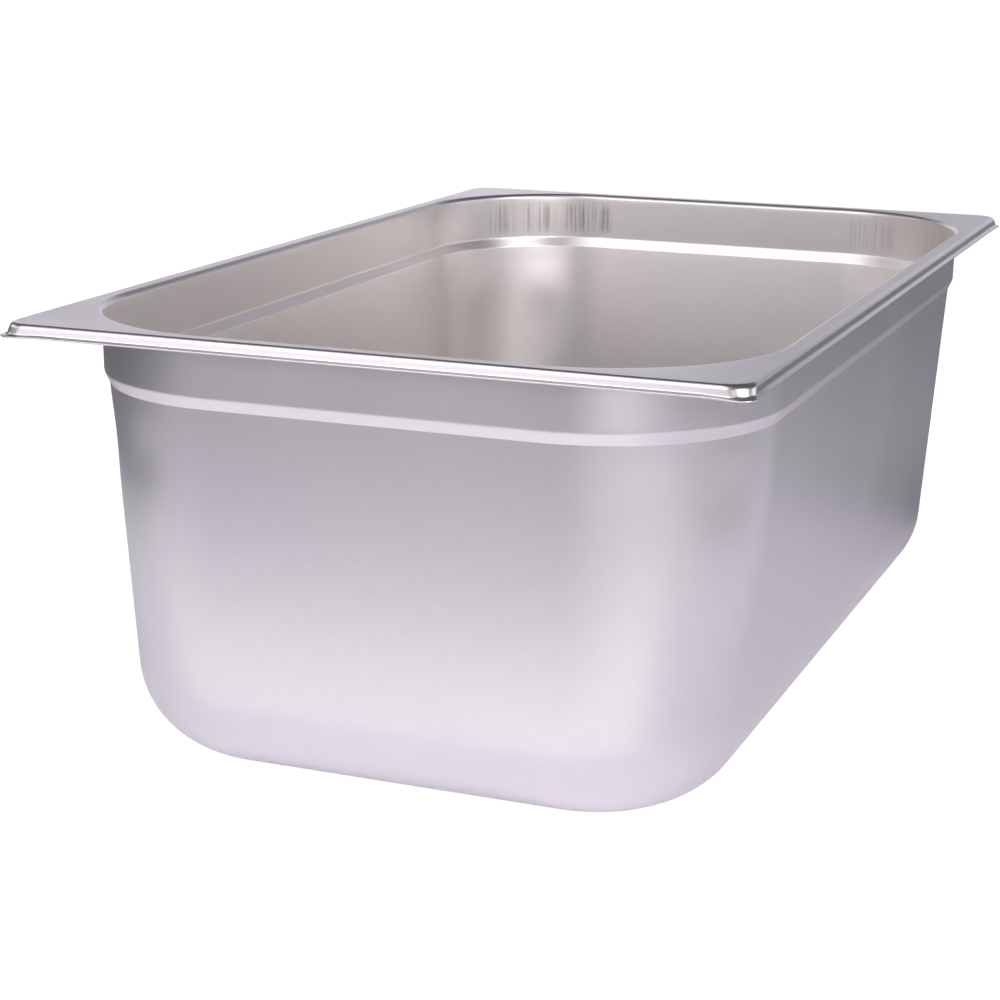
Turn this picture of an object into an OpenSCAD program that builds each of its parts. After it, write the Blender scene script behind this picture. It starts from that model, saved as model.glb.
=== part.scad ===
// Full-size gastronorm food pan, 200 mm deep, deep drawn from one sheet of stainless steel.
// The origin is the centre of the base, on the surface that the pan stands on.
// X runs across the pan, Y along it and Z up.

/* [Overall] */
// Width over the rim, along X
pan_w = 325; // [300:1:350]
// Length over the rim, along Y
pan_l = 530; // [500:1:560]
// Height from the surface it stands on to the top of the rim
pan_h = 200; // [150:1:220]
// Thickness of the sheet
sheet_t = 0.8; // [0.6:0.1:1]

/* [Rim] */
// Outer corner radius of the rim, at the lip
rim_corner_r = 8; // [7.5:0.5:16]
// Bend radius from the flat flange into the turned-down edge, on the top face
edge_bend_r = 2; // [1.6:0.1:3]
// Depth of the turned-down edge, from the top of the rim to the crease above the lip
edge_drop = 4.2; // [3.9:0.1:5]
// Lean of the turned-down edge from the vertical, in degrees
edge_lean = 10; // [5:1:12]
// How far the lip stands out beyond the crease
lip_w = 1.5; // [1.2:0.1:2]
// Fall of the lip below the horizontal, in degrees
lip_fall = 20; // [15:1:35]
// Bend radius of the crease above the lip, on the top face
crease_bend_r = 0.8; // [0.5:0.1:1]

/* [Stacking band] */
// Distance from the outside of the rim to the inner face of the band
band_inset = 11.2; // [10.5:0.1:14]
// Bend radius from the flange down into the band, on the top face
mouth_bend_r = 2.6; // [2:0.1:3]
// Draft of the band, in degrees
band_draft = 0.7; // [0:0.1:2]
// Depth of the shoulder's upper crease below the top of the rim
shoulder_depth = 26; // [22:0.5:35]
// Height of the shoulder
shoulder_h = 5.2; // [3.6:0.1:6]
// How far the shoulder steps inwards
shoulder_step = 2.3; // [1.5:0.1:3]
// Bend radius of the shoulder's upper crease, on the inner face
shoulder_top_r = 3.4; // [1:0.1:4]
// Bend radius of the shoulder's lower crease, on the inner face
shoulder_foot_r = 2; // [1:0.1:4]

/* [Tub] */
// Corner radius of the band's inner face at the mouth
mouth_corner_r = 78.8; // [75:0.1:85]
// Draft of the tub's walls, in degrees
wall_draft = 4; // [3:0.5:5]
// Bend radius from the walls into the base, on the inner face
base_bend_r = 43; // [30:1:45]

/* [Fineness] */
// Straight steps in each small bend
bend_steps = 6; // [4:1:10]
// Straight steps in the large bend round the base
base_bend_steps = 14; // [8:1:20]
// Facets in a full turn of the corners
corner_fn = 96; // [48:8:128]

/* [Hidden] */
steel = [0.74, 0.73, 0.75];
// Inset of each corner's vertical axis from the outside of the rim: one for the rim's edge, one for the tub
rim_axis_inset = rim_corner_r;
tub_axis_inset = band_inset + mouth_corner_r;
// The turned-down edge's upper vertex, where its slope would meet the flange
edge_inset = lip_w + edge_drop * tan(edge_lean);
// The flange's flat stretch starts and stops a little way from the bends on either side of it
flat_margin = 0.5;
edge_split_inset = edge_inset + edge_bend_r * tan((90 - edge_lean) / 2) + flat_margin;
mouth_split_inset = band_inset - mouth_bend_r * tan((90 - band_draft) / 2) - flat_margin;
// The section's vertices down the inner face of the tub, as insets from the outside of the rim
shoulder_inset = band_inset + shoulder_depth * tan(band_draft);
wall_inset = shoulder_inset + shoulder_step;
wall_h = pan_h - sheet_t - shoulder_depth - shoulder_h;
base_inset = wall_inset + wall_h * tan(wall_draft);
// The base's flat stretch starts where the large bend ends
flat_inset = base_inset + base_bend_r * tan((90 - wall_draft) / 2);

// Unit vector from one point to the next
function heading(a, b) = (b - a) / norm(b - a);

// The vector a quarter turn to the left of a heading
function left_of(d) = [-d[1], d[0]];

// Signed turn from one heading to the next, in degrees, positive to the left
function turn(d, e) = atan2(d[0] * e[1] - d[1] * e[0], d * e);

// A vector turned by an angle
function turned(v, a) = [v[0] * cos(a) - v[1] * sin(a), v[0] * sin(a) + v[1] * cos(a)];

// The arc that rounds the vertex b between a and c with radius r, moved sideways to the left by t
function bend(a, b, c, r, steps, t) =
    let (
        d = heading(a, b),
        angle = turn(d, heading(b, c)),
        side = sign(angle),
        start = b - d * r * tan(abs(angle) / 2),
        centre = start + left_of(d) * r * side
    )
    [for (i = [0:steps]) centre - turned(left_of(d), angle * i / steps) * (r * side - t)];

// One face of a bent sheet: vertices [x, z, bend radius, steps], moved sideways by t
function face(path, t) =
    let (
        last = len(path) - 1,
        p = [for (v = path) [v[0], v[1]]]
    )
    concat(
        [p[0] + left_of(heading(p[0], p[1])) * t],
        [for (i = [1:last - 1]) each bend(p[i - 1], p[i], p[i + 1], path[i][2], path[i][3], t)],
        [p[last] + left_of(heading(p[last - 1], p[last])) * t]
    );

// Section of the sheet, with its top or inner face on the path and its thickness to the left
module sheet_section(path) {
    top = face(path, 0);
    under = face(path, sheet_t);
    polygon(concat(top, [for (i = [len(under) - 1:-1:0]) under[i]]));
}

// Rectangle of the pan's outline, inset all round, with corners about axes at axis_inset
module pan_outline(inset, axis_inset) {
    w = pan_w - 2 * inset;
    l = pan_l - 2 * inset;
    r = axis_inset - inset;
    square([w - 2 * r, l], center = true);
    square([w, l - 2 * r], center = true);
    for (x = [-1, 1], y = [-1, 1])
        translate([x * (w / 2 - r), y * (l / 2 - r)])
            circle(r, $fn = corner_fn);
}

// Sweeps a section round the pan: four straight sides and four quarter turns about the corner axes.
// The section's x is the distance outwards from the corner axes, and its y is the height.
module round_the_pan(axis_inset) {
    half_w = pan_w / 2 - axis_inset;
    half_l = pan_l / 2 - axis_inset;
    for (side = [0, 1]) {
        rotate(180 * side) {
            translate([half_w, half_l, 0])
                rotate([90, 0, 0])
                    linear_extrude(2 * half_l)
                        children();
            translate([-half_w, half_l, 0])
                rotate([90, 0, 90])
                    linear_extrude(2 * half_w)
                        children();
            translate([half_w, half_l, 0])
                rotate_extrude(angle = 90, $fn = corner_fn)
                    children();
            translate([-half_w, half_l, 0])
                rotate(90)
                    rotate_extrude(angle = 90, $fn = corner_fn)
                        children();
        }
    }
}

// The flange's outer part, its turned-down edge and the lip below it
module rim_edge() {
    a = rim_axis_inset;
    path = [
        [a, pan_h - edge_drop - lip_w * tan(lip_fall)],
        [a - lip_w, pan_h - edge_drop, crease_bend_r, bend_steps],
        [a - edge_inset, pan_h, edge_bend_r, bend_steps],
        [a - edge_split_inset, pan_h]
    ];
    round_the_pan(a)
        sheet_section(path);
}

// The flat flange, widest at the corners, between the edge's small corners and the mouth's large ones
module flange() {
    translate([0, 0, pan_h - sheet_t])
        linear_extrude(sheet_t)
            difference() {
                pan_outline(edge_split_inset, rim_axis_inset);
                pan_outline(mouth_split_inset, tub_axis_inset);
            }
}

// The mouth, the stacking band, the shoulder, the tapered walls and the bend into the base
module tub() {
    a = tub_axis_inset;
    path = [
        [a - mouth_split_inset, pan_h],
        [a - band_inset, pan_h, mouth_bend_r, bend_steps],
        [a - shoulder_inset, pan_h - shoulder_depth, shoulder_top_r, bend_steps],
        [a - wall_inset, pan_h - shoulder_depth - shoulder_h, shoulder_foot_r, bend_steps],
        [a - base_inset, sheet_t, base_bend_r, base_bend_steps],
        [a - flat_inset, sheet_t]
    ];
    round_the_pan(a)
        sheet_section(path);
}

// The flat of the base, inside the large bend
module base() {
    linear_extrude(sheet_t)
        pan_outline(flat_inset, tub_axis_inset);
}

// The whole pan: one sheet, with no seam
module pan() {
    color(steel) {
        rim_edge();
        flange();
        tub();
        base();
    }
}

pan();
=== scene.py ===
"""Looks of a full-size gastronorm food pan: one deep-drawn sheet of satin stainless steel."""
import math

import bpy
import numpy as np
from mathutils import Matrix, Vector

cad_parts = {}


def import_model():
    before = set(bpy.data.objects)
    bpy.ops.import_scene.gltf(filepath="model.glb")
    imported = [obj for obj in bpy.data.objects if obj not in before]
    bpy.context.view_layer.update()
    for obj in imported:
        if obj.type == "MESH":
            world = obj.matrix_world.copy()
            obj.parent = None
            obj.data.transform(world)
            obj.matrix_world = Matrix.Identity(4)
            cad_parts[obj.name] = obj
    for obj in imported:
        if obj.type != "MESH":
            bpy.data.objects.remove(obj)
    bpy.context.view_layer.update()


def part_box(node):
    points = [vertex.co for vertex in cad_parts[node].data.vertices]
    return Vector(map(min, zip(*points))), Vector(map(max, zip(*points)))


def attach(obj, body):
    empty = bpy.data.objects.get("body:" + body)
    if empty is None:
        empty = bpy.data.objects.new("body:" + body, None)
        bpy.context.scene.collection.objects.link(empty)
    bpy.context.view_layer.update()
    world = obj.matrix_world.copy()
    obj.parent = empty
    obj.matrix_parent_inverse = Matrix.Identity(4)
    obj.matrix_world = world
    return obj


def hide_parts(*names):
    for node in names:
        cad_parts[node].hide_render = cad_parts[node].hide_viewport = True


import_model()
MM = 0.001


def tan(deg):
    return math.tan(math.radians(deg))


def clamp01(v):
    return min(max(v, 0.0), 1.0)


# ---------------------------------------------------------------------------
# Size: the frame gives the overall box, and the pressing's own sizes are in millimetres
# ---------------------------------------------------------------------------
LOW, HIGH = (np.array(c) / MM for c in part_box("pan"))
WIDTH, LENGTH, HEIGHT = HIGH - LOW
SHEET = 0.8
# rim: lip, turned-down edge and the bends on either side of it
LIP_W, LIP_FALL = 1.5, 20.0
EDGE_DROP, EDGE_LEAN, EDGE_R, CREASE_R = 4.2, 10.0, 2.0, 0.8
# corner radii of the rim's outline at the lip's tip, the crease and the edge of the flat
TIP_CORNER_R, CREASE_CORNER_R, FLAT_CORNER_R = 6.5, 8.2, 10.5
# the lip hangs lower round the rim's corners, and comes back up along the sides
CORNER_SAG, SAG_REACH = 0.45, 14.0
# stacking band and shoulder
BAND_INSET, MOUTH_R, BAND_DRAFT = 11.2, 2.6, 0.7
SHOULDER_DEPTH, SHOULDER_H, SHOULDER_STEP = 26.0, 5.2, 2.3
SHOULDER_TOP_R, SHOULDER_FOOT_R = 3.4, 2.0
MOUTH_CORNER_R = 78.8
# tub
WALL_DRAFT, BASE_R = 4.0, 43.0
# where the mesh's innermost ring lies, a little way into the base's flat
FLOOR_INSET = 88.0
# shallow hollows that drawing leaves under the shoulder, near both ends of each corner
HOLLOW_DEPTH, HOLLOW_R, HOLLOW_BELOW, HOLLOW_ANGLE = 0.6, 20.0, 24.0, 28.0
# how far under the shoulder the hollows start, and over what height they reach their depth
HOLLOW_START, HOLLOW_FADE = 3.0, 8.0
# draw marks on the band's inner face: (corner's x side, y side, from, to, strength), with angles in degrees
# about the corner's axis, from 0 at the side wall to 90 at the end wall
DRAW_MARKS = (
    (-1, 1, 37, 49, 0.9), (-1, 1, 54, 67, 0.8), (-1, 1, 71, 92, 1.0),
    (1, 1, 4, 14, 0.15), (1, 1, 30, 52, 0.2), (1, 1, 66, 88, 0.3),
    (-1, -1, 35, 60, 0.5), (-1, -1, 68, 86, 0.6), (1, -1, 30, 48, 0.5), (1, -1, 60, 84, 0.5),
)
# depths between which the marks run, the height over which they fade, and half the angle over which they do
MARKS_TOP, MARKS_BOTTOM, MARKS_FADE, MARKS_END_FADE = 4.0, 25.0, 5.0, 2.0
# mesh fineness, counted in steps
CORNER_STEPS, SHORT_STEPS, LONG_STEPS, TIP_STEPS = 64, 48, 64, 8

# insets from the outside of the rim: the tub's corner axes, the edge's upper vertex, the flange's flat
TUB_AXIS = BAND_INSET + MOUTH_CORNER_R
EDGE_INSET = LIP_W + EDGE_DROP * tan(EDGE_LEAN)
FLAT_FROM = EDGE_INSET + EDGE_R * tan((90 - EDGE_LEAN) / 2)
FLAT_TO = BAND_INSET - MOUTH_R * tan((90 - BAND_DRAFT) / 2)
CORNER_AXIS = np.array([WIDTH / 2 - TUB_AXIS, LENGTH / 2 - TUB_AXIS])

# ---------------------------------------------------------------------------
# Look of the steel and of the studio
# ---------------------------------------------------------------------------
STEEL_LIGHT = (0.835, 0.808, 0.775, 1)
STEEL_DARK = (0.8, 0.773, 0.745, 1)
STEEL_MARKED = (0.38, 0.345, 0.32, 1)
# the steel's roughness, and how much draw marks add to it and polishing takes away
ROUGH_LOW, ROUGH_HIGH, ROUGH_MARKED, ROUGH_POLISHED = 0.38, 0.42, 0.12, 0.08
# features per metre of each pattern, and how the last two are drawn out down the wall
GRAIN_SCALE, MOTTLE_SCALE, GLOSS_SCALE, STREAK_SCALE = 1100.0, 160.0, 14.0, 680.0
GLOSS_STRETCH, STREAK_STRETCH = (1, 1, 0.5), (1, 1, 0.02)
# the part of each noise that makes a full change of gloss, and a full streak
GLOSS_RANGE, STREAK_RANGE = (0.3, 0.7), (0.42, 0.66)
# heights of the surface's relief in metres, and how much of it polishing leaves
MOTTLE_H, GRAIN_H, STREAK_H, POLISHED_RELIEF = 0.00003, 0.000018, 0.00006, 0.15
# the soft boxes stand on a sphere about this place, in metres
STUDIO_CENTRE, STUDIO_R = Vector((0, 0, 0.05)), 2.0
FLOOR_HALF, BACKDROP_R = 15.0, 14.5
SENSOR = 36.0


# ---------------------------------------------------------------------------
# Section of the sheet
# ---------------------------------------------------------------------------
def heading(a, b):
    d = b - a
    return d / np.linalg.norm(d)


def left_of(d):
    return np.array([-d[1], d[0]])


def bend(a, b, c, r, steps):
    """The arc that rounds vertex b, between a and c, with radius r, as (point, left normal) pairs."""
    d, e = heading(a, b), heading(b, c)
    angle = math.atan2(d[0] * e[1] - d[1] * e[0], d @ e)
    side = math.copysign(1.0, angle)
    centre = b - d * r * math.tan(abs(angle) / 2) + left_of(d) * r * side
    out = []
    for i in range(steps + 1):
        t = angle * i / steps
        n = np.array([[math.cos(t), -math.sin(t)], [math.sin(t), math.cos(t)]]) @ left_of(d)
        out.append((centre - n * r * side, n))
    return out


def section(vertices):
    """Points down the sheet's top face, as (point, left normal). Each vertex is
    (outset, height, bend radius, bend steps, steps of the straight stretch that follows)."""
    pts = [np.array(v[:2]) for v in vertices]
    out = []
    for i, v in enumerate(vertices):
        if v[2]:
            arc = bend(pts[i - 1], pts[i], pts[i + 1], v[2], v[3])
        else:
            d = heading(pts[i], pts[i + 1]) if i == 0 else heading(pts[i - 1], pts[i])
            arc = [(pts[i], left_of(d))]
        if out:
            start, stretch = out[-1], vertices[i - 1][4]
            for k in range(1, stretch):
                out.append((start[0] + (arc[0][0] - start[0]) * k / stretch, start[1]))
        out += arc
    return out


def pan_path():
    """The sheet's top face from the lip to the middle of the base."""
    shoulder_inset = BAND_INSET + SHOULDER_DEPTH * tan(BAND_DRAFT)
    wall_inset = shoulder_inset + SHOULDER_STEP
    wall_h = HEIGHT - SHEET - SHOULDER_DEPTH - SHOULDER_H
    base_inset = wall_inset + wall_h * tan(WALL_DRAFT)
    # the sheet's cut edge is rounded over its whole thickness, and its outermost point is the rim's size
    fall = math.radians(LIP_FALL)
    back = SHEET / 2 * (1 - math.sin(fall))
    return [
        (-back, HEIGHT - EDGE_DROP - (LIP_W - back) * tan(LIP_FALL), 0, 0, 2),
        (-LIP_W, HEIGHT - EDGE_DROP, CREASE_R, 6, 4),
        (-EDGE_INSET, HEIGHT, EDGE_R, 10, 8),
        (-BAND_INSET, HEIGHT, MOUTH_R, 10, 10),
        (-shoulder_inset, HEIGHT - SHOULDER_DEPTH, SHOULDER_TOP_R, 8, 4),
        (-wall_inset, HEIGHT - SHOULDER_DEPTH - SHOULDER_H, SHOULDER_FOOT_R, 6, 30),
        (-base_inset, SHEET, BASE_R, 26, 8),
        (-FLOOR_INSET, SHEET, 0, 0, 0),
    ]


def corner_radius(inset, height):
    """Corner radius of the outline through a point of the section's top face."""
    if inset < LIP_W:
        return TIP_CORNER_R + (CREASE_CORNER_R - TIP_CORNER_R) * clamp01(inset / LIP_W)
    if inset < FLAT_FROM:
        up = clamp01((height - (HEIGHT - EDGE_DROP)) / EDGE_DROP)
        return CREASE_CORNER_R + (FLAT_CORNER_R - CREASE_CORNER_R) * up
    if inset < FLAT_TO:
        across = clamp01((inset - FLAT_FROM) / (FLAT_TO - FLAT_FROM))
        return FLAT_CORNER_R + (TUB_AXIS - FLAT_TO - FLAT_CORNER_R) * across
    return TUB_AXIS - inset


def spread(steps, crowding=0.12):
    """Places along a straight side, closer together near its two ends."""
    return [k / steps - crowding * math.sin(2 * math.pi * k / steps) for k in range(steps)]


def outline(inset, radius):
    """Points round the pan at an inset, anticlockwise from the front end of the right side, with each
    point's distance from the nearest corner arc."""
    half_w, half_l = WIDTH / 2 - inset, LENGTH / 2 - inset
    cx, cy = half_w - radius, half_l - radius
    loop = []
    for quarter, (sx, sy) in enumerate(((1, 1), (-1, 1), (-1, -1), (1, -1))):
        before = ((half_w, -cy), (cx, half_l), (-half_w, cy), (-cx, -half_l))[quarter]
        after = ((half_w, cy), (-cx, half_l), (-half_w, -cy), (cx, -half_l))[quarter]
        side = np.hypot(after[0] - before[0], after[1] - before[1])
        for u in spread(SHORT_STEPS if quarter % 2 else LONG_STEPS):
            loop.append((before[0] + (after[0] - before[0]) * u, before[1] + (after[1] - before[1]) * u,
                         side * min(u, 1 - u)))
        for k in range(CORNER_STEPS):
            t = math.radians(90) * (quarter + k / CORNER_STEPS)
            loop.append((sx * cx + radius * math.cos(t), sy * cy + radius * math.sin(t), 0.0))
    return np.array(loop)


def lay_ring(loop, z, drop):
    """An outline as one ring of the mesh at height z, hanging lower by drop times the sag at the corners."""
    near = np.clip(1 - loop[:, 2] / SAG_REACH, 0, 1)
    sag = CORNER_SAG * drop * near * near * (3 - 2 * near)
    return np.column_stack([loop[:, :2], z - sag])


def ring(point, normal, offset):
    """One ring of the sheet: a section point moved sideways by offset and swept round the pan."""
    outset, z = point + normal * offset
    radius = corner_radius(-point[0], point[1]) + normal[0] * offset
    drop = clamp01((HEIGHT - point[1]) / EDGE_DROP) if -point[0] < FLAT_FROM else 0.0
    return lay_ring(outline(-outset, radius), z, drop)


def cut_edge(tip, normal):
    """Rings round the sheet's cut edge, from its top face to its underside."""
    outwards = np.array([-normal[1], normal[0]])
    rings = []
    for k in range(1, TIP_STEPS):
        t = math.radians(180 * k / TIP_STEPS)
        p = tip + normal * SHEET / 2 * (1 - math.cos(t)) + outwards * SHEET / 2 * math.sin(t)
        rings.append(lay_ring(outline(-p[0], TIP_CORNER_R + p[0]), p[1], 1.0))
    return rings


def outwards_from_axes(xy):
    """Horizontal direction from the tub's corner axes, or from the lines between them."""
    reach = np.sign(xy) * np.maximum(np.abs(xy) - CORNER_AXIS, 0)
    return reach / np.maximum(np.linalg.norm(reach, axis=1, keepdims=True), 1e-6)


def hollow(verts):
    """Presses the shallow hollows into both faces of the walls."""
    depth = np.zeros(len(verts))
    shoulder_foot = HEIGHT - SHOULDER_DEPTH - SHOULDER_H
    radius = MOUTH_CORNER_R - SHOULDER_STEP - HOLLOW_BELOW * tan(WALL_DRAFT)
    for sx in (-1, 1):
        for sy in (-1, 1):
            for angle in (HOLLOW_ANGLE, 90 - HOLLOW_ANGLE):
                a = math.radians(angle)
                x = sx * (CORNER_AXIS[0] + radius * math.cos(a))
                y = sy * (CORNER_AXIS[1] + radius * math.sin(a))
                far = np.linalg.norm(verts - np.array([x, y, shoulder_foot - HOLLOW_BELOW]), axis=1)
                depth += HOLLOW_DEPTH * np.exp(-(far / HOLLOW_R) ** 2 * 2)
    fade = np.clip((shoulder_foot - HOLLOW_START - verts[:, 2]) / HOLLOW_FADE, 0, 1)
    verts[:, :2] -= outwards_from_axes(verts[:, :2]) * (depth * fade)[:, None]


def draw_marks(verts):
    """How strongly each point of the inner face is marked by drawing, from 0 to 1."""
    below = HEIGHT - verts[:, 2]
    fade_in = np.clip((below - MARKS_TOP) / MARKS_FADE, 0, 1)
    fade_out = np.clip((MARKS_BOTTOM - below) / MARKS_FADE, 0, 1)
    marks = np.zeros(len(verts))
    for sx, sy, start, end, strength in DRAW_MARKS:
        x, y = verts[:, 0] * sx - CORNER_AXIS[0], verts[:, 1] * sy - CORNER_AXIS[1]
        angle = np.degrees(np.arctan2(y, np.where(y > 0, x, -1.0)))
        past_start = np.clip((angle - start) / (2 * MARKS_END_FADE) + 0.5, 0, 1)
        before_end = np.clip((end - angle) / (2 * MARKS_END_FADE) + 0.5, 0, 1)
        marks = np.maximum(marks, strength * past_start * before_end * (y > 0))
    return marks * fade_in * fade_out


def polished(point):
    """How far the forming tools have rubbed the sheet bright, from 0 to 1: only the rim's edge."""
    return 1.0 if -point[0] < FLAT_FROM else 0.0


def sweep_faces(rings, count):
    """Quads between the rings, and a face closing the base's flat at each end."""
    faces = []
    for i in range(rings - 1):
        a, b = i * count, (i + 1) * count
        for k in range(count):
            j = (k + 1) % count
            faces.append((a + k, a + j, b + j, b + k))
    faces.append(tuple(range(count))[::-1])
    last = (rings - 1) * count
    faces.append(tuple(last + k for k in range(count)))
    return faces


def build_pan():
    """The whole pressing, from the middle of the base inside, out round the cut edge and back underneath."""
    top = section(pan_path())
    inner = [ring(p, n, 0.0) for p, n in reversed(top)]
    edge = cut_edge(*top[0])
    under = [ring(p, n, SHEET) for p, n in top]
    loops = inner + edge + under
    count = len(loops[0])
    verts = np.concatenate(loops)
    hollow(verts)
    marks = draw_marks(verts)
    marks[len(inner) * count:] = 0.0
    along = [p for p, n in top]
    polish = np.repeat([polished(p) for p in along[::-1] + [along[0]] * len(edge) + along], count)

    mesh = bpy.data.meshes.new("pan_sheet")
    mesh.from_pydata([tuple(v) for v in verts * MM], [], sweep_faces(len(loops), count))
    for name, values in (("draw_marks", marks), ("polish", polish)):
        mesh.attributes.new(name, "FLOAT", "POINT").data.foreach_set("value", values.astype(np.float32))
    mesh.validate()
    mesh.update()
    mesh.shade_smooth()
    obj = bpy.data.objects.new("pan_sheet", mesh)
    bpy.context.collection.objects.link(obj)
    return obj


# ---------------------------------------------------------------------------
# Materials
# ---------------------------------------------------------------------------
def new_material(name):
    mat = bpy.data.materials.new(name)
    mat.use_nodes = True
    return mat, mat.node_tree.nodes, mat.node_tree.links, mat.node_tree.nodes["Principled BSDF"]


def noise(nodes, links, coords, scale, stretch=(1, 1, 1), detail=2.0):
    """Noise texture over the pan's own coordinates, in features per metre."""
    mapping = nodes.new("ShaderNodeMapping")
    mapping.inputs["Scale"].default_value = stretch
    links.new(coords, mapping.inputs["Vector"])
    tex = nodes.new("ShaderNodeTexNoise")
    tex.inputs["Scale"].default_value = scale
    tex.inputs["Detail"].default_value = detail
    links.new(mapping.outputs["Vector"], tex.inputs["Vector"])
    return tex.outputs["Fac"]


def remap(nodes, links, value, low, high, to_low, to_high):
    """A value's range from low to high, stretched to the range from to_low to to_high."""
    node = nodes.new("ShaderNodeMapRange")
    for name, v in (("From Min", low), ("From Max", high), ("To Min", to_low), ("To Max", to_high)):
        node.inputs[name].default_value = v
    links.new(value, node.inputs["Value"])
    return node.outputs["Result"]


def combine(nodes, links, operation, a, b):
    """Two values added, subtracted or multiplied; the second may be a plain number."""
    node = nodes.new("ShaderNodeMath")
    node.operation = operation
    links.new(a, node.inputs[0])
    if isinstance(b, float):
        node.inputs[1].default_value = b
    else:
        links.new(b, node.inputs[1])
    return node.outputs["Value"]


def bump(nodes, links, height, depth, before=None):
    """Relief of the given depth in metres, on top of the relief before it."""
    node = nodes.new("ShaderNodeBump")
    node.inputs["Strength"].default_value = 1.0
    node.inputs["Distance"].default_value = depth
    links.new(height, node.inputs["Height"])
    if before:
        links.new(before, node.inputs["Normal"])
    return node.outputs["Normal"]


def steel():
    """Satin steel: a fine even grain, slow changes in gloss, dark streaks where drawing marked it, and a
    smoother finish where the tools rubbed it bright."""
    mat, nodes, links, bsdf = new_material("satin_steel")
    coords = nodes.new("ShaderNodeTexCoord").outputs["Object"]
    marks, polish = nodes.new("ShaderNodeAttribute"), nodes.new("ShaderNodeAttribute")
    marks.attribute_name, polish.attribute_name = "draw_marks", "polish"
    grain = noise(nodes, links, coords, GRAIN_SCALE, detail=3.0)
    mottle = noise(nodes, links, coords, MOTTLE_SCALE, detail=4.0)
    gloss = noise(nodes, links, coords, GLOSS_SCALE, GLOSS_STRETCH)
    streak = noise(nodes, links, coords, STREAK_SCALE, STREAK_STRETCH, detail=3.0)
    streak = remap(nodes, links, streak, *STREAK_RANGE, 0.0, 1.0)
    streak = combine(nodes, links, "MULTIPLY", streak, marks.outputs["Fac"])
    tone = nodes.new("ShaderNodeMix")
    tone.data_type = "RGBA"
    tone.inputs["A"].default_value = STEEL_LIGHT
    tone.inputs["B"].default_value = STEEL_DARK
    links.new(mottle, tone.inputs["Factor"])
    marked = nodes.new("ShaderNodeMix")
    marked.data_type = "RGBA"
    marked.inputs["B"].default_value = STEEL_MARKED
    links.new(streak, marked.inputs["Factor"])
    links.new(tone.outputs["Result"], marked.inputs["A"])
    links.new(marked.outputs["Result"], bsdf.inputs["Base Color"])
    bsdf.inputs["Metallic"].default_value = 1.0
    rougher = combine(nodes, links, "MULTIPLY", streak, ROUGH_MARKED)
    smoother = combine(nodes, links, "MULTIPLY", polish.outputs["Fac"], ROUGH_POLISHED)
    rough = remap(nodes, links, gloss, *GLOSS_RANGE, ROUGH_LOW, ROUGH_HIGH)
    rough = combine(nodes, links, "ADD", rough, rougher)
    rough = combine(nodes, links, "SUBTRACT", rough, smoother)
    links.new(rough, bsdf.inputs["Roughness"])
    relief = remap(nodes, links, polish.outputs["Fac"], 0.0, 1.0, 1.0, POLISHED_RELIEF)
    normal = bump(nodes, links, combine(nodes, links, "MULTIPLY", mottle, relief), MOTTLE_H)
    normal = bump(nodes, links, combine(nodes, links, "MULTIPLY", grain, relief), GRAIN_H, normal)
    normal = bump(nodes, links, streak, STREAK_H, normal)
    links.new(normal, bsdf.inputs["Normal"])
    return mat


def stage_material(name, colour, glow):
    """Matt surface of the studio, which also gives off an even white light."""
    mat, _, _, bsdf = new_material(name)
    bsdf.inputs["Base Color"].default_value = (*colour, 1)
    bsdf.inputs["Roughness"].default_value = 0.9
    bsdf.inputs["Specular IOR Level"].default_value = 0.0
    bsdf.inputs["Emission Color"].default_value = (1, 1, 1, 1)
    bsdf.inputs["Emission Strength"].default_value = glow
    return mat


# ---------------------------------------------------------------------------
# Camera, studio and lights
# ---------------------------------------------------------------------------
def camera():
    """A camera in front of the pan and a little to its right, looking down into it. Lengths in millimetres,
    and the focal length in widths of the picture."""
    azimuth, elevation, roll = (math.radians(a) for a in (21.43, 14.6, 0.536))
    distance, target, focal = 1171.2, Vector((-40.5, 0.0, 73.66)), 2.2795
    back = Vector((math.sin(azimuth) * math.cos(elevation),
                   -math.cos(azimuth) * math.cos(elevation), math.sin(elevation)))
    right = (-back).cross(Vector((0, 0, 1))).normalized()
    up = right.cross(-back)
    rolled_right = right * math.cos(roll) + up * math.sin(roll)
    rolled_up = up * math.cos(roll) - right * math.sin(roll)
    data = bpy.data.cameras.new("camera")
    data.sensor_width = SENSOR
    data.lens = focal * SENSOR
    data.clip_start, data.clip_end = 0.05, 50.0
    cam = bpy.data.objects.new("camera", data)
    bpy.context.collection.objects.link(cam)
    pose = Matrix((rolled_right, rolled_up, back)).transposed().to_4x4()
    pose.translation = (target + back * distance) * MM
    cam.matrix_world = pose
    bpy.context.scene.camera = cam


def stage_plane(name, low, high, z, material):
    """A flat panel of the stage, from its lowest to its highest corner in metres."""
    corners = [(low[0], low[1], z), (high[0], low[1], z), (high[0], high[1], z), (low[0], high[1], z)]
    mesh = bpy.data.meshes.new(name)
    mesh.from_pydata(corners, [], [(0, 1, 2, 3)])
    obj = bpy.data.objects.new(name, mesh)
    bpy.context.collection.objects.link(obj)
    mesh.materials.append(material)
    return obj


def direction(azimuth, elevation):
    """Unit vector to a place in the studio: azimuth 0 is in front of the pan, 90 on its right."""
    a, e = math.radians(azimuth), math.radians(elevation)
    return Vector((math.sin(a) * math.cos(e), -math.cos(a) * math.cos(e), math.sin(e)))


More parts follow.
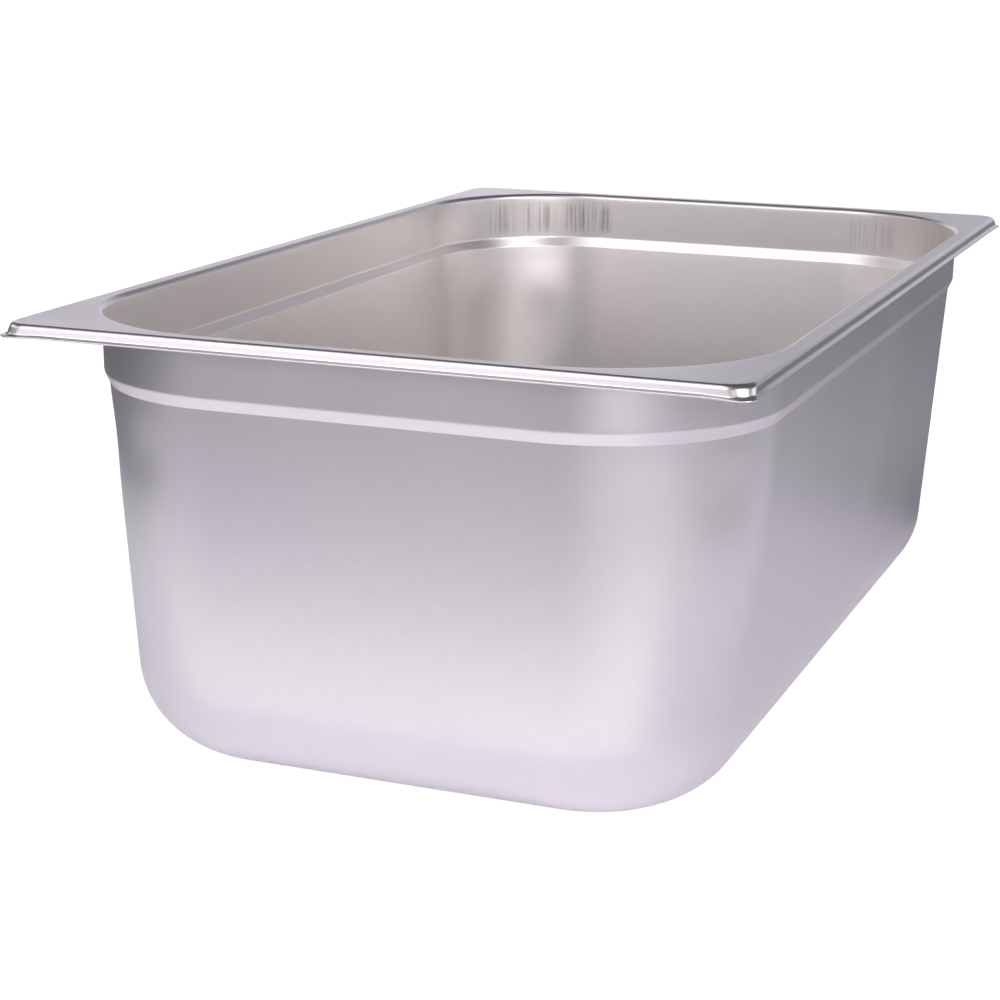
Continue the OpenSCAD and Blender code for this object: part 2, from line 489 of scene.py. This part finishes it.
def softbox(name, azimuth, elevation, width, height, power, colour):
    """A soft box that faces the pan, with its size in metres and its power in watts."""
    data = bpy.data.lights.new(name, "AREA")
    data.shape = "RECTANGLE"
    data.size, data.size_y = width, height
    data.energy = power
    data.color = colour
    obj = bpy.data.objects.new(name, data)
    bpy.context.collection.objects.link(obj)
    towards = direction(azimuth, elevation)
    obj.location = STUDIO_CENTRE + towards * STUDIO_R
    obj.rotation_mode = "QUATERNION"
    obj.rotation_quaternion = (-towards).to_track_quat("-Z", "Y")
    obj.visible_camera = False
    return obj


def soften(name, zone, glow, shade=0.9, z=0.0):
    """One zone of the table top as the steel sees it: a shade of cool white, with a glow of its own."""
    obj = stage_plane(name, zone[0], zone[1], z, stage_material(name, (shade, shade, shade * 1.11), glow))
    obj.visible_camera = False
    obj.visible_shadow = False
    return obj


def lights():
    """Soft boxes all round: a tall stack at the front left, a strong one on the right, tall ones behind."""
    softbox("front_left_low", 336, 11, 1.2, 0.6, 2.8, (1.0, 0.98, 1.06))
    softbox("front_left_mid", 339, 30, 1.2, 0.7, 6.9, (1.01, 0.97, 1.06))
    softbox("front_left_top", 338, 53, 1.2, 0.9, 5.0, (0.96, 0.98, 1.1))
    softbox("front_key", 27, 11, 0.9, 0.6, 6.2, (1.03, 0.97, 1.02))
    softbox("front_right_low", 52, 11, 0.9, 0.6, 2.0, (1.0, 0.99, 1.04))
    softbox("right_high", 60, 30, 1.0, 0.6, 14.0, (1.03, 0.98, 1.04))
    softbox("right_low", 85, 11, 1.0, 0.6, 1.8, (1.0, 0.98, 1.1))
    softbox("right_back_low", 115, 11, 1.0, 0.6, 2.8, (0.95, 0.98, 1.18))
    softbox("back_right_low", 148, 11, 1.15, 0.6, 0.8, (1.0, 0.97, 1.1))
    softbox("back", 180, 16, 1.19, 0.95, 2.3, (1.0, 0.98, 1.12))
    softbox("back_left", 213, 16, 1.19, 0.95, 3.4, (1.01, 0.98, 1.12))
    softbox("left_high", 270, 26, 1.0, 0.6, 2.4, (1.0, 0.95, 1.06))
    softbox("left_front_high", 303, 26, 1.0, 0.6, 1.8, (1.05, 0.97, 1.04))


def table():
    """The table top that the steel reflects, in zones round the pan, brightest a little way in front of it.
    The camera doesn't see the zones: it sees one plain pale floor."""
    # half the width and length under the pan, and how far each zone reaches beyond that, in metres
    x, y = 0.1, 0.205
    near, mid, far, edge = 0.09, 0.2, 0.4, 2.0
    soften("table_rest", ((-edge, -edge), (edge, edge)), 0.0, 0.25, -0.0001)
    soften("table_front_near", ((-x - near, -y - near), (x + near, -y)), 0.12)
    soften("table_front_mid", ((-x - mid, -y - mid), (x + mid, -y - near)), 0.42)
    soften("table_front_far", ((-x - far, -y - far), (x + far, -y - mid)), 0.05, 0.77)
    soften("table_right_near", ((x, -y), (x + near, y)), 0.08)
    soften("table_right_mid", ((x + near, -y - near), (x + mid, y + near)), 0.03)
    soften("table_right_far", ((x + mid, -y - mid), (x + far, y + mid)), 0.2)
    soften("table_right_back", ((x, y + mid), (x + far, y + 0.6)), 0.04, 0.4)
    soften("table_left_near", ((-x - near, -y), (-x, y)), 0.19)
    soften("table_left_mid", ((-x - mid, -y - near), (-x - near, y + near)), 0.17)
    soften("table_left_far", ((-x - far, -y - mid), (-x - mid, y + mid)), 0.27)
    soften("table_back", ((-x - near, y), (x + near, y + near)), 0.0)


def camera_only(obj):
    """Hides a piece of the studio from every ray but the camera's."""
    for rays in ("glossy", "diffuse", "transmission", "shadow"):
        setattr(obj, "visible_" + rays, False)


def floor():
    """The plain pale floor and the plain white backdrop behind it, as the camera sees them."""
    half = FLOOR_HALF
    white = stage_material("pale_floor", (0.5, 0.5, 0.5), 1.0)
    camera_only(stage_plane("floor", (-half, -half), (half, half), -0.0002, white))
    bpy.ops.mesh.primitive_uv_sphere_add(radius=BACKDROP_R, segments=48, ring_count=24)
    dome = bpy.context.object
    dome.name = "backdrop"
    dome.data.materials.append(stage_material("backdrop", (0, 0, 0), 1.3))
    camera_only(dome)


def world():
    """The dim room round the studio."""
    room = bpy.data.worlds.new("studio")
    room.use_nodes = True
    background = room.node_tree.nodes["Background"]
    background.inputs["Color"].default_value = (0.97, 0.96, 1.1, 1)
    background.inputs["Strength"].default_value = 0.08
    bpy.context.scene.world = room


# ---------------------------------------------------------------------------
# The scene
# ---------------------------------------------------------------------------
pan = build_pan()
pan.data.materials.append(steel())
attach(pan, "root")
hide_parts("pan")
floor()
table()
lights()
world()
camera()
bpy.context.scene.view_settings.view_transform = "Standard"
